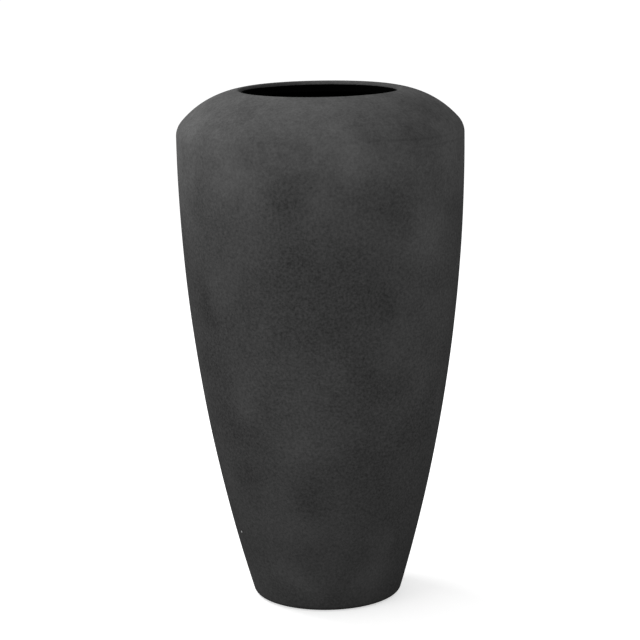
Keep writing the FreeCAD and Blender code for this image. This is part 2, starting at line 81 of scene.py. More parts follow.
# where the arcs meet
belly_height = HEIGHT - SHOULDER_HEIGHT
lip_radius = WALL + ROVING_RADIUS
across = BELLY_RADIUS - FOOT_RADIUS
rise = belly_height - HEEL_RADIUS
flank_radius = (across ** 2 + rise ** 2 - HEEL_RADIUS ** 2) / (2 * (across - HEEL_RADIUS))
flank_centre = (BELLY_RADIUS - flank_radius, belly_height)
heel_centre = (FOOT_RADIUS, HEEL_RADIUS)
heel_angle = math.atan2(heel_centre[1] - flank_centre[1], heel_centre[0] - flank_centre[0])
knee_centre = (BELLY_RADIUS - KNEE_RADIUS, belly_height)
lip_centre = (MOUTH_RADIUS + lip_radius, HEIGHT - lip_radius)
reach_r = lip_centre[0] - knee_centre[0]
reach_z = lip_centre[1] - knee_centre[1]
reach = math.hypot(reach_r, reach_z)
along = ((DOME_RADIUS - KNEE_RADIUS) ** 2 - (DOME_RADIUS - lip_radius) ** 2 + reach ** 2) / (2 * reach)
aside = math.sqrt((DOME_RADIUS - KNEE_RADIUS) ** 2 - along ** 2)
dome_centre = (
    knee_centre[0] + (reach_r * along - reach_z * aside) / reach,
    knee_centre[1] + (reach_z * along + reach_r * aside) / reach,
)
knee_angle = math.atan2(knee_centre[1] - dome_centre[1], knee_centre[0] - dome_centre[0])
lip_angle = math.atan2(lip_centre[1] - dome_centre[1], lip_centre[0] - dome_centre[0])
corner_outer = KICK_CORNER + WALL
foot_inner = FOOT_RADIUS - FOOT_WIDTH
corner_centre = (foot_inner, corner_outer)
step_angle = math.pi + KICK_DRAFT
step_rise = KICK_DEPTH - KICK_FILLET - corner_outer + (KICK_FILLET + corner_outer) * math.sin(KICK_DRAFT)
panel_edge = (foot_inner - (KICK_FILLET + corner_outer) * math.cos(KICK_DRAFT)
              - step_rise * math.tan(KICK_DRAFT))
fillet_centre = (panel_edge, KICK_DEPTH - KICK_FILLET)
groove_low_angle = math.asin(-FILLER_BELOW / flank_radius)
groove_high_angle = math.asin(FILLER_ABOVE / KNEE_RADIUS)
groove_root = (BELLY_RADIUS - FILLER_DEPTH, belly_height)
inner_ring = (BELLY_RADIUS - WALL, belly_height)

Edge = namedtuple("Edge", "height middle half darkness wander")

# The two edges of the joint's filler: height, where each is plain (middle and half-length, in degrees of
# turn from the front), how dark it is there, and how much higher it lies to the left of that place.
SEAM_EDGES = (
    Edge(height=belly_height - FILLER_BELOW, middle=56, half=9, darkness=0.15, wander=0.0),
    Edge(height=belly_height + FILLER_ABOVE, middle=44, half=13, darkness=0.17, wander=0.0045),
)
SEAM_REACH = 0.0040
SEAM_FADE = 12
SEAM_FAINT = 0.3
SEAM_WORN = (0.35, 0.62)
SEAM_RISE = (math.radians(18), math.radians(58))

# Noise, each with its patch size in metres, detail, roughness and seed
BROAD_CLOUDS = (0.15, 1.0, 0.4, 1.0)
MIDDLING_CLOUDS = (0.055, 2.0, 0.45, 2.0)
GRAIN = (0.0050, 2.0, 0.55, 3.0)
SAND = (0.0016, 1.0, 0.5, 4.0)
LEVEL_WANDER = (0.09, 2.0, 0.5, 5.0)
BARE_EDGE = (0.006, 3.0, 0.6, 6.0)
SEAM_WEAR = (0.05, 2.0, 0.5, 7.0)
CHIP_EDGE = (0.002, 2.0, 0.6, 9.0)
RESIN_BLOTS = (0.03, 3.0, 0.6, 11.0)
RUBBER_BLOOM = (0.006, 3.0, 0.6, 13.0)
RUBBER_GRAIN = (0.0006, 2.0, 0.5, 14.0)
DUST_BLOTS = (0.018, 3.0, 0.72, 15.0)
DUST_DRIFTS = (0.09, 1.0, 0.5, 16.0)

# ============================================================
# Node helpers
# ============================================================


def add(tree, kind, inputs=None, **settings):
    """A new node. A value that is a socket is linked, and any other value is typed in."""
    node = tree.nodes.new(kind)
    for name, value in settings.items():
        setattr(node, name, value)
    for name, value in (inputs or {}).items():
        socket = node.inputs[name]
        if isinstance(value, bpy.types.NodeSocket):
            tree.links.new(value, socket)
        else:
            socket.default_value = value
    return node


def result(tree, kind, inputs=None, **settings):
    """The first output of a new node."""
    return add(tree, kind, inputs, **settings).outputs[0]


def calc(tree, operation, *values):
    """One step of arithmetic."""
    return result(tree, "ShaderNodeMath", dict(enumerate(values)), operation=operation)


def times(tree, one, other):
    """One number times another."""
    return calc(tree, "MULTIPLY", one, other)


def split(tree, vector):
    """A vector's X, Y and Z."""
    return add(tree, "ShaderNodeSeparateXYZ", {"Vector": vector}).outputs


def joined(tree, x, y, z):
    """A vector from its X, Y and Z."""
    return result(tree, "ShaderNodeCombineXYZ", {"X": x, "Y": y, "Z": z})


def scaled(tree, vector, factor):
    """A vector or a colour times a number."""
    return result(tree, "ShaderNodeVectorMath", {0: vector, "Scale": factor}, operation="SCALE")


def summed(tree, one, other):
    """Two vectors added."""
    return result(tree, "ShaderNodeVectorMath", {0: one, 1: other}, operation="ADD")


def distance(tree, one, other):
    """How far one place is from another."""
    return add(tree, "ShaderNodeVectorMath", {0: one, 1: other}, operation="DISTANCE").outputs["Value"]


def ramp(tree, value, low, high, to_low=0.0, to_high=1.0):
    """Spreads value softly from low..high on to to_low..to_high, and holds it at both ends."""
    return add(
        tree, "ShaderNodeMapRange",
        {"Value": value, "From Min": low, "From Max": high, "To Min": to_low, "To Max": to_high},
        clamp=True, interpolation_type="SMOOTHSTEP",
    ).outputs["Result"]


def cloud(tree, place, size, detail, roughness, seed):
    """Smooth noise round 0.5 whose patches are about size across, in metres."""
    scale = calc(tree, "DIVIDE", 1.0, size) if isinstance(size, bpy.types.NodeSocket) else 1.0 / size
    return result(
        tree, "ShaderNodeTexNoise",
        {"Vector": place, "W": seed, "Scale": scale, "Detail": detail, "Roughness": roughness},
        noise_dimensions="4D",
    )


def pushed(tree, place, scale, detail, reach):
    """A place pushed about by smooth noise."""
    push = add(tree, "ShaderNodeTexNoise", {"Vector": place, "Scale": scale, "Detail": detail})
    return summed(tree, place, scaled(tree, push.outputs["Color"], reach))


def sway(tree, place, *noise):
    """The same noise, either side of 0."""
    return calc(tree, "SUBTRACT", cloud(tree, place, *noise), 0.5)


# ============================================================
# Profiles. Each is walked with the outside on the right.
# ============================================================

# How far apart a profile's points lie, in metres
ROW_EDGE = 0.0005
ROW_SEAM = 0.0006
ROW_LIP = 0.0008
ROW_HEEL = 0.0012
ROW_KNEE = 0.0015
ROW_SHORT = 0.002
ROW_MAT = 0.0025
ROW_STEP = 0.003
ROW_DOME = 0.0035
ROW_FLAT = 0.004
ROW_DOME_INSIDE = 0.005
ROW_PANEL = 0.006
ROW_FLANK = 0.008
ROW_MAT_SEAT = 0.010
ROW_FLANK_INSIDE = 0.014

# What a surface is: how far it is coated, and how freely it wanders
SANDED = (1.0, 1.0)
SANDED_LIP = (1.0, 0.3)
SANDED_HEEL = (1.0, 0.15)
SANDED_TRUE = (1.0, 0.0)
BARE_TRUE = (0.0, 0.0)
OPEN_MAT = (0.0, 1.0)
MAT_FEATHER = (0.0, 0.5)
MAT_RIM = (0.0, 0.3)
COAT_COLUMN = 4
LOOSE_COLUMN = 5

# How far past a rounded corner the next point lies: so many of its radii, and a little more
CORNER_REACH = 2.2
CORNER_GAP = 0.0002


class Profile:
    """A closed outline in radius and height, in short steps, with what each step's surface is."""

    def __init__(self):
        self.steps = []

    def lay(self, radius, height, out_r, out_z, surface):
        self.steps.append([radius, height, out_r, out_z, *surface])

    def arc(self, centre, radius, start, end, step, surface):
        count = max(2, round(abs(end - start) * radius / step))
        sign = 1.0 if end > start else -1.0
        for k in range(count):
            a = start + (end - start) * k / count
            c, s = math.cos(a), math.sin(a)
            self.lay(centre[0] + radius * c, centre[1] + radius * s, sign * c, sign * s, surface)

    def line(self, start, end, step, surface):
        length = math.dist(start, end)
        count = max(1, round(length / step))
        out_r, out_z = (end[1] - start[1]) / length, (start[0] - end[0]) / length
        for k in range(count):
            t = k / count
            radius = start[0] + (end[0] - start[0]) * t
            height = start[1] + (end[1] - start[1]) * t
            self.lay(radius, height, out_r, out_z, surface)

    def feather(self, start, end, step):
        """A mat's sloping edge. Its first point is where it touches the laminate, so it stays there."""
        tip = len(self.steps)
        self.line(start, end, step, MAT_FEATHER)
        self.steps[tip][LOOSE_COLUMN] = 0.0

    def mesh(self, name):
        mesh = bpy.data.meshes.new(name)
        points = [(s[0], 0, s[1]) for s in self.steps]
        mesh.from_pydata(points, [(k, k + 1) for k in range(len(points) - 1)], [])
        facing = mesh.attributes.new("facing", "FLOAT_VECTOR", "POINT")
        facing.data.foreach_set("vector", [v for s in self.steps for v in (s[2], 0.0, s[3])])
        for column, label in ((COAT_COLUMN, "coat"), (LOOSE_COLUMN, "loose")):
            values = mesh.attributes.new(label, "FLOAT", "POINT")
            values.data.foreach_set("value", [s[column] for s in self.steps])
        return mesh


def at(centre, radius, angle):
    """A place on a circle."""
    return (centre[0] + radius * math.cos(angle), centre[1] + radius * math.sin(angle))


def rounded(profile, corner, before, after, radius, steps=5):
    """A rounded corner between the directions of two straight sides."""
    a = Vector((before[0] - corner[0], before[1] - corner[1])).normalized()
    b = Vector((after[0] - corner[0], after[1] - corner[1])).normalized()
    half = a.angle(b) / 2
    back = radius / math.tan(half)
    middle = (a + b).normalized() * (radius / math.sin(half))
    centre = (corner[0] + middle.x, corner[1] + middle.y)
    begin = Vector((corner[0] + a.x * back - centre[0], corner[1] + a.y * back - centre[1]))
    end = Vector((corner[0] + b.x * back - centre[0], corner[1] + b.y * back - centre[1]))
    from_angle = math.atan2(begin.y, begin.x)
    turn = math.atan2(begin.x * end.y - begin.y * end.x, begin.dot(end))
    sign = 1.0 if turn > 0 else -1.0
    for k in range(steps + 1):
        t = from_angle + turn * k / steps
        place = at(centre, radius, t)
        profile.lay(place[0], place[1], sign * math.cos(t), sign * math.sin(t), BARE_TRUE)


def turned_corners(corners, radii, step):
    """A closed outline of straight sides whose corners have the radii given, 0 where one stays sharp."""
    profile = Profile()
    count = len(corners)
    for k, corner in enumerate(corners):
        before, after = corners[k - 1], corners[(k + 1) % count]
        length = math.dist(corner, after)
        out_r, out_z = (after[1] - corner[1]) / length, (corner[0] - after[0]) / length
        if radii[k]:
            rounded(profile, corner, before, after, radii[k])
        else:
            profile.lay(corner[0], corner[1], out_r, out_z, BARE_TRUE)
        inner = int(length / step)
        for m in range(1, inner):
            p = Vector(corner).lerp(Vector(after), m / inner)
            clear_start = (p - Vector(corner)).length > radii[k] * CORNER_REACH + CORNER_GAP
            clear_stop = (Vector(after) - p).length > radii[(k + 1) % count] * CORNER_REACH + CORNER_GAP
            if clear_start and clear_stop:
                profile.lay(p.x, p.y, out_r, out_z, BARE_TRUE)
    return profile


# ============================================================
# Geometry Nodes: pieces turned about the planter's axis
# ============================================================

RIPPLE_SIZE = 0.012
PATCH_SPAN = (0.25, 0.75)
WELD_DISTANCE = 0.000002
CREASE_ANGLE = math.radians(40)
COATED_ABOVE = 0.45


def interface(tree, sockets):
    """A tree's own inputs and outputs."""
    for name, kind, way, value in sockets:
        socket = tree.interface.new_socket(name, in_out=way, socket_type=kind)
        if value is not None:
            socket.default_value = value


def ended(tree, geometry):
    """The tree, with its output in place."""
    tree.nodes.new("NodeGroupOutput")
    tree.links.new(geometry, tree.nodes["Group Output"].inputs["Geometry"])
    return tree


def turned_tree():
    """Turns a profile about +Z, lets its loose surfaces wander inwards, and sinks the joint's edges."""
    tree = bpy.data.node_groups.new("turned_laminate", "GeometryNodeTree")
    interface(tree, (
        ("Geometry", "NodeSocketGeometry", "INPUT", None),
        ("Segments", "NodeSocketInt", "INPUT", 256),
        ("Unevenness", "NodeSocketFloat", "INPUT", 0.0003),
        ("Patch Size", "NodeSocketFloat", "INPUT", 0.15),
        ("Ripple", "NodeSocketFloat", "INPUT", 0.0),
        ("Seed", "NodeSocketFloat", "INPUT", 1.0),
        ("Groove Depth", "NodeSocketFloat", "INPUT", 0.0),
        ("Coat", "NodeSocketMaterial", "INPUT", None),
        ("Inside", "NodeSocketMaterial", "INPUT", None),
        ("Geometry", "NodeSocketGeometry", "OUTPUT", None),
    ))
    given = tree.nodes.new("NodeGroupInput").outputs
    profile = given["Geometry"]
    count = add(tree, "GeometryNodeAttributeDomainSize", {"Geometry": profile},
                component="MESH").outputs["Point Count"]
    grid = result(tree, "GeometryNodeMeshGrid", {
        "Size X": 1.0, "Size Y": 1.0,
        "Vertices X": calc(tree, "ADD", given["Segments"], 1.0),
        "Vertices Y": calc(tree, "ADD", count, 1.0),
    })
    where = split(tree, result(tree, "GeometryNodeInputPosition"))
    turn = times(tree, calc(tree, "ADD", where["X"], 0.5), math.tau)
    row = calc(tree, "ROUND", times(tree, calc(tree, "ADD", where["Y"], 0.5), count))
    row = calc(tree, "FLOORED_MODULO", row, count)

    def read(value, kind):
        return result(tree, "GeometryNodeSampleIndex", {"Geometry": profile, "Value": value, "Index": row},
                      data_type=kind, domain="POINT")

    def named(label, kind):
        return result(tree, "GeometryNodeInputNamedAttribute", {"Name": label}, data_type=kind)

    def swung(vector):
        parts = split(tree, vector)
        return joined(tree, times(tree, parts["X"], calc(tree, "COSINE", turn)),
                      times(tree, parts["X"], calc(tree, "SINE", turn)), parts["Z"])

    place = swung(read(result(tree, "GeometryNodeInputPosition"), "FLOAT_VECTOR"))
    facing = swung(read(named("facing", "FLOAT_VECTOR"), "FLOAT_VECTOR"))
    coat = read(named("coat", "FLOAT"), "FLOAT")
    loose = read(named("loose", "FLOAT"), "FLOAT")

    patches = cloud(tree, place, given["Patch Size"], detail=2.0, roughness=0.45, seed=given["Seed"])
    ripples = cloud(tree, place, RIPPLE_SIZE, detail=3.0, roughness=0.6, seed=given["Seed"])
    sunk = times(tree, ramp(tree, patches, *PATCH_SPAN), given["Unevenness"])
    sunk = calc(tree, "ADD", sunk, times(tree, ripples, given["Ripple"]))
    sunk = times(tree, sunk, loose)
    groove = calc(tree, "ADD", *(seam_edge(tree, place, edge) for edge in SEAM_EDGES))
    groove = times(tree, times(tree, groove, coat), given["Groove Depth"])
    sunk = calc(tree, "ADD", sunk, groove)
    inwards = scaled(tree, facing, times(tree, sunk, -1.0))
    # the coat is marked while the grid is still flat, because its rows are read from where its points lie
    marked = result(tree, "GeometryNodeStoreNamedAttribute",
                    {"Geometry": grid, "Name": "coat", "Value": coat}, data_type="FLOAT", domain="POINT")
    shaped = result(tree, "GeometryNodeSetPosition",
                    {"Geometry": marked, "Position": place, "Offset": inwards})
    closed = result(tree, "GeometryNodeMergeByDistance", {"Geometry": shaped, "Distance": WELD_DISTANCE})
    bend = add(tree, "GeometryNodeInputMeshEdgeAngle").outputs["Unsigned Angle"]
    gentle = calc(tree, "LESS_THAN", bend, CREASE_ANGLE)
    smooth = result(tree, "GeometryNodeSetShadeSmooth", {"Geometry": closed, "Shade Smooth": True},
                    domain="FACE")
    creased = result(tree, "GeometryNodeSetShadeSmooth", {"Geometry": smooth, "Shade Smooth": gentle},
                     domain="EDGE")
    real = result(tree, "GeometryNodeRealizeInstances", {"Geometry": creased})
    dark = result(tree, "GeometryNodeSetMaterial", {"Geometry": real, "Material": given["Inside"]})
    is_coat = calc(tree, "GREATER_THAN", named("coat", "FLOAT"), COATED_ABOVE)
    done = result(tree, "GeometryNodeSetMaterial",
                  {"Geometry": dark, "Selection": is_coat, "Material": given["Coat"]})
    return ended(tree, done)


def seam_edge(tree, place, edge):
    """One edge of the joint's filler: 1 on it where it is plain, next to nothing where it is rubbed away."""
    parts = split(tree, place)
    turn = calc(tree, "ARCTAN2", parts["X"], times(tree, parts["Y"], -1.0))
    off = calc(tree, "ABSOLUTE", calc(tree, "SUBTRACT", turn, math.radians(edge.middle)))
    plain = ramp(tree, off, math.radians(edge.half), math.radians(edge.half + SEAM_FADE), 1.0, 0.0)
    broken = ramp(tree, cloud(tree, place, *SEAM_WEAR), *SEAM_WORN)
    plain = times(tree, plain, calc(tree, "MULTIPLY_ADD", broken, SEAM_FAINT, 1.0 - SEAM_FAINT))
    shows = calc(tree, "MAXIMUM", times(tree, broken, SEAM_FAINT), plain)
    line = calc(tree, "ADD", edge.height, ramp(tree, turn, *SEAM_RISE, edge.wander, 0.0))
    away = calc(tree, "ABSOLUTE", calc(tree, "SUBTRACT", parts["Z"], line))
    return times(tree, ramp(tree, away, 0.0, SEAM_REACH, 1.0, 0.0), shows)


def baked(name, source, tree, inputs):
    """The plain mesh that a tree makes from a source mesh, as one object."""
    maker = bpy.data.objects.new(name + "_source", source)
    bpy.context.scene.collection.objects.link(maker)
    step = maker.modifiers.new(tree.name, "NODES")
    step.node_group = tree
    for item in tree.interface.items_tree:
        if item.item_type == "SOCKET" and item.in_out == "INPUT" and item.name in inputs:
            step[item.identifier] = inputs[item.name]
    depsgraph = bpy.context.evaluated_depsgraph_get()
    mesh = bpy.data.meshes.new_from_object(maker.evaluated_get(depsgraph), preserve_all_data_layers=False,
                                           depsgraph=depsgraph)
    maker.modifiers.remove(step)
    bpy.data.objects.remove(maker)
    mesh.name = name
    for label in ("coat", "facing", "loose"):
        if label in mesh.attributes:
            mesh.attributes.remove(mesh.attributes[label])
    piece = bpy.data.objects.new(name, mesh)
    bpy.context.scene.collection.objects.link(piece)
    return piece


def dress(piece, body, node):
    """Tells the frame which body a piece rides, and hides the solid that it stands for."""
    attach(piece, body)
    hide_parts(node)


# ============================================================
# Finishes. A span is what ramp takes: from, to, and the values at both.
# ============================================================

# the sanded mineral coat
COAT_GREY = (0.049, 0.049, 0.049)
COAT_ROUGHNESS = 0.82
GRAIN_ROUGHNESS = 0.25
CLOUD_ROUGHNESS = 0.2
COAT_RELIEF = 0.00035
MIDDLING_SHARE = 0.6
SAND_SHARE = 0.45
BACK_SPAN = (-0.06, 0.14, 0.55, 1.0)
PIT_SCALE = 240.0
PIT_SPAN = (0.12, 0.3, 1.0, 0.0)
UNPITTED_SHARE = 0.84
PIT_RELIEF = 0.35

# the dust on the shoulder, which also stands as painted light from above and from the left, and the quieter,
# darker foot
LEVEL_SHIFT = 0.09
DUST_AND_TOP_LIGHT_SPAN = (0.66, 0.94, 0.0, 1.0)
DARKER_SPAN = (0.10, 0.60, -0.08, 0.0)
QUIET_SPAN = (0.05, 0.45, 0.32, 0.0)
DUST_QUIET = -0.42
DUST_AND_TOP_LIGHT_TONE = 0.68
PAINTED_LEFT_LIGHT = -0.65
BLOT_STRENGTH = 0.64
DRIFT_STRENGTH = 0.45

# the soft clouds
CLOUD_SPAN = (0.1, 1.15, 1.0, 0.0)
PALE_AND_PAINTED_LIGHT_STRENGTH = 0.19
DARK_STRENGTH = -0.15
PUSH_SCALE = 12.0
PUSH_REACH = 0.05

# the chip: turn from the front in degrees and height, its edge, and how pale it is
CHIP = (-66, 0.143)
CHIP_RAGGED = 0.0016
CHIP_SPAN = (0.0024, 0.0034, 1.0, 0.0)
CHIP_PALE = 9.0

# where the coat thins and ends at the mouth, with painted shade on the left of the lip's inner turn
TOP_ONLY = 0.95
THIN_COAT_AND_SHADE_RADIUS_SPAN = (0.1535, 0.1595, 1.0, 0.0)
PAINTED_LEFT_LIP_SHADE_SPAN = (-0.075, 0.01, 0.52, 0.10)
BARE_RAGGED = 0.0016
PAINTED_LEFT_SHADE_RISE_SPAN = (-0.15, -0.09, 0.0015, 0.0)
BARE_HEIGHT_SPAN = (0.9928, 0.9940, 1.0, 0.0)
BARE_RADIUS_SPAN = (0.1555, 0.1565, 1.0, 0.0)

# the resin, its chopped strands and the rubber
RESIN_BLACK = (0.0014, 0.0014, 0.0014)
BLOT_TONE = 0.8
BLOT_BASE = 0.6
RESIN_ROUGHNESS_SPAN = (0.3, 0.7, 0.42, 0.62)
STRAND_SCALE = 22.0
STRAND_TURNS = ((0.3, 0.2, 0.9), (1.1, 2.2, 0.4), (2.3, 0.9, 1.7), (0.7, 1.6, 2.6))
STRAND_NARROWING = (1.0, 14.0, 14.0)
STRAND_SPAN = (0.18, 0.4, 1.0, 0.0)
STRAND_BEND = 0.02
RUBBER_BLACK = (0.012, 0.012, 0.012)
BLOOM_SPAN = (0.3, 0.75, 0.85, 1.5)
RUBBER_ROUGHNESS_SPAN = (0.3, 0.7, 0.55, 0.72)
RUBBER_RELIEF = 0.00006


def shader_group(name, inputs, outputs):
    """A new shader group, with its inputs and outputs."""
    tree = bpy.data.node_groups.new(name, "ShaderNodeTree")
    interface(tree, [(n, k, "INPUT", v) for n, k, v in inputs] + [(n, k, "OUTPUT", None) for n, k in outputs])
    return tree, tree.nodes.new("NodeGroupInput").outputs, tree.nodes.new("NodeGroupOutput").inputs


def stone_coat_group():
    """A sanded mineral coat: clouds of tone in every size from a hand's width down to sand, and open pits."""
    tree, given, out = shader_group(
        "sanded_mineral_coat",
        (("Vector", "NodeSocketVector", None), ("Cloud Strength", "NodeSocketFloat", 0.1),
         ("Grain Strength", "NodeSocketFloat", 0.1), ("Pit Strength", "NodeSocketFloat", 0.2)),
        (("Tone", "NodeSocketFloat"), ("Roughness", "NodeSocketFloat"), ("Height", "NodeSocketFloat")),
    )
    place = given["Vector"]
    broad = sway(tree, place, *BROAD_CLOUDS)
    clouds = calc(tree, "ADD", broad, times(tree, sway(tree, place, *MIDDLING_CLOUDS), MIDDLING_SHARE))
    # the front's clouds are listed one by one, so these are stronger at the back
    clouds = times(tree, clouds, ramp(tree, split(tree, place)["Y"], *BACK_SPAN))
    grains = calc(tree, "ADD", sway(tree, place, *GRAIN),
                  times(tree, sway(tree, place, *SAND), SAND_SHARE))
    cells = add(tree, "ShaderNodeTexVoronoi", {"Vector": place, "Scale": PIT_SCALE, "Randomness": 1.0})
    chance = add(tree, "ShaderNodeSeparateColor", {"Color": cells.outputs["Color"]}).outputs["Red"]
    pit = times(tree, ramp(tree, cells.outputs["Distance"], *PIT_SPAN),
                calc(tree, "GREATER_THAN", chance, UNPITTED_SHARE))
    tone = calc(tree, "MULTIPLY_ADD", clouds, given["Cloud Strength"], 1.0)
    tone = calc(tree, "ADD", tone, times(tree, grains, given["Grain Strength"]))
    unpitted = calc(tree, "SUBTRACT", 1.0, times(tree, pit, given["Pit Strength"]))
    rough = calc(tree, "MULTIPLY_ADD", broad, CLOUD_ROUGHNESS, COAT_ROUGHNESS)
    tree.links.new(times(tree, tone, unpitted), out["Tone"])
    tree.links.new(calc(tree, "MULTIPLY_ADD", grains, GRAIN_ROUGHNESS, rough), out["Roughness"])
    tree.links.new(calc(tree, "SUBTRACT", grains, times(tree, pit, PIT_RELIEF)), out["Height"])
    return tree


def laid_glass_group():
    """Chopped strands of glass showing through dark resin: 1 on a strand."""
    tree, given, out = shader_group(
        "laid_glass",
        (("Vector", "NodeSocketVector", None), ("Strand Scale", "NodeSocketFloat", STRAND_SCALE)),
        (("Strands", "NodeSocketFloat"),),
    )
    bent = pushed(tree, given["Vector"], STRAND_SCALE, detail=2.0, reach=STRAND_BEND)
    total = 0.0
    for turns in STRAND_TURNS:
        turned = result(tree, "ShaderNodeMapping",
                        {"Vector": bent, "Rotation": turns, "Scale": STRAND_NARROWING})
        field = add(tree, "ShaderNodeTexVoronoi", {"Vector": turned, "Scale": given["Strand Scale"]},
                    feature="F1").outputs["Distance"]
        total = calc(tree, "MAXIMUM", total, ramp(tree, field, *STRAND_SPAN))
    tree.links.new(total, out["Strands"])
    return tree


def soft_cloud_group():
    """Adds one soft, uneven patch to a tone."""
    tree, given, out = shader_group(
        "soft_cloud",
        (("Tone", "NodeSocketFloat", 1.0), ("Vector", "NodeSocketVector", None),
         ("Place", "NodeSocketVector", None), ("Reach", "NodeSocketFloat", 0.06),
         ("Strength", "NodeSocketFloat", 0.1)),
        (("Tone", "NodeSocketFloat"),),
    )
    gap = distance(tree, given["Vector"], given["Place"])
    fall = ramp(tree, calc(tree, "DIVIDE", gap, given["Reach"]), *CLOUD_SPAN)
    tree.links.new(calc(tree, "MULTIPLY_ADD", fall, given["Strength"], given["Tone"]), out["Tone"])
    return tree


soft_cloud = soft_cloud_group()
stone_coat = stone_coat_group()
laid_glass = laid_glass_group()


def new_material(name, colour, roughness=None, specular=0.5):
    """A material with one plain shader."""
    material = bpy.data.materials.new(name)
    material.use_nodes = True
    tree = material.node_tree
    shader = tree.nodes["Principled BSDF"]
    shader.inputs["Base Color"].default_value = (*colour, 1.0)
    if roughness is not None:
        shader.inputs["Roughness"].default_value = roughness
    shader.inputs["Specular IOR Level"].default_value = specular
    material.diffuse_color = (*colour, 1.0)
    return material, tree, shader


def object_place(tree):
    """Where a point lies on the planter."""
    return tree.nodes.new("ShaderNodeTexCoord").outputs["Object"]


def bump(tree, shader, height, relief):
    """Fine relief in a surface, in metres."""
    node = add(tree, "ShaderNodeBump", {"Height": height, "Distance": relief, "Strength": 1.0})
    tree.links.new(node.outputs[0], shader.inputs["Normal"])


def on_the_flank(turn, height):
    """A place on the outside, by its turn from the front in degrees and its height."""
    radius = flank_centre[0] + math.sqrt(flank_radius ** 2 - (height - belly_height) ** 2)
    return (radius * math.sin(math.radians(turn)), -radius * math.cos(math.radians(turn)), height)


# soft clouds on the front: turn from the front in degrees, height, and reach
# The pale clouds are partly the coat's own mottling and partly painted light. The broad ones on the right, at
# 60 and 66 degrees, stand for light that no lamp gives there.
PALE_CLOUDS_AND_PAINTED_LIGHT = (
    (38, 0.69, 0.080), (44, 0.74, 0.065), (14, 0.90, 0.050), (-43, 0.915, 0.050), (-35, 0.855, 0.050),
    (34, 0.53, 0.070), (48, 0.48, 0.055), (0, 0.385, 0.080), (-15, 0.345, 0.070), (-38, 0.43, 0.055),
    (36, 0.08, 0.070), (36, 0.14, 0.050), (-26, 0.07, 0.045), (-45, 0.65, 0.060), (66, 0.66, 0.110),
    (60, 0.58, 0.090), (42, 0.61, 0.070), (56, 0.72, 0.070), (-64, 0.93, 0.060), (8, 0.935, 0.050),
    (30, 0.05, 0.070), (-12, 0.04, 0.050),
)
DARK_CLOUDS = (
    (15, 0.83, 0.065), (30, 0.81, 0.068), (-13, 0.85, 0.050), (-14, 0.80, 0.045), (-55, 0.80, 0.070),
    (-58, 0.60, 0.050), (-62, 0.50, 0.060), (27, 0.62, 0.045), (50, 0.37, 0.070), (-10, 0.24, 0.055),
    (-44, 0.26, 0.070), (42, 0.95, 0.050),
)


def tone_with_dust_and_painted_light(tree, place, parts, coat_tone):
    """The coat's tone with its dust, its painted light from above and from the left, and its soft clouds."""
    # the level wanders, so that neither the dust with its painted top light nor the dark foot has a straight
    # edge
    level = calc(tree, "ADD", parts["Z"], times(tree, sway(tree, place, *LEVEL_WANDER), LEVEL_SHIFT))
    dust_and_top_light = ramp(tree, level, *DUST_AND_TOP_LIGHT_SPAN)
    darker = ramp(tree, level, *DARKER_SPAN)
    low = ramp(tree, level, *QUIET_SPAN)
    variation = calc(tree, "SUBTRACT", calc(tree, "MULTIPLY_ADD", dust_and_top_light, DUST_QUIET, 1.0), low)
    tone = calc(tree, "MULTIPLY_ADD", calc(tree, "SUBTRACT", coat_tone, 1.0), variation, 1.0)
    # the dust lies in blots
    blots = calc(tree, "ADD", times(tree, sway(tree, place, *DUST_BLOTS), BLOT_STRENGTH),
                 times(tree, sway(tree, place, *DUST_DRIFTS), DRIFT_STRENGTH))
    tone = calc(tree, "MULTIPLY_ADD", blots, dust_and_top_light, tone)
    # the soft clouds are pushed out of round
    bent = pushed(tree, place, PUSH_SCALE, detail=1.0, reach=PUSH_REACH)
    bent = summed(tree, bent, (-PUSH_REACH / 2,) * 3)
    for clouds, strength in ((PALE_CLOUDS_AND_PAINTED_LIGHT, PALE_AND_PAINTED_LIGHT_STRENGTH), (DARK_CLOUDS, DARK_STRENGTH)):
        for turn, height, size in clouds:
            tone = result(tree, "ShaderNodeGroup", {
                "Tone": tone, "Vector": bent, "Place": on_the_flank(turn, height),
                "Reach": size, "Strength": strength,
            }, node_tree=soft_cloud)
    # the upper part is paler, partly from dust and partly as painted light from above, and it is paler still
    # to the left as painted light from that side
    dust_and_painted_light = times(tree, dust_and_top_light, calc(tree, "MULTIPLY_ADD", parts["X"], PAINTED_LEFT_LIGHT, DUST_AND_TOP_LIGHT_TONE))
    return times(tree, tone, calc(tree, "ADD", calc(tree, "ADD", dust_and_painted_light, 1.0), darker))


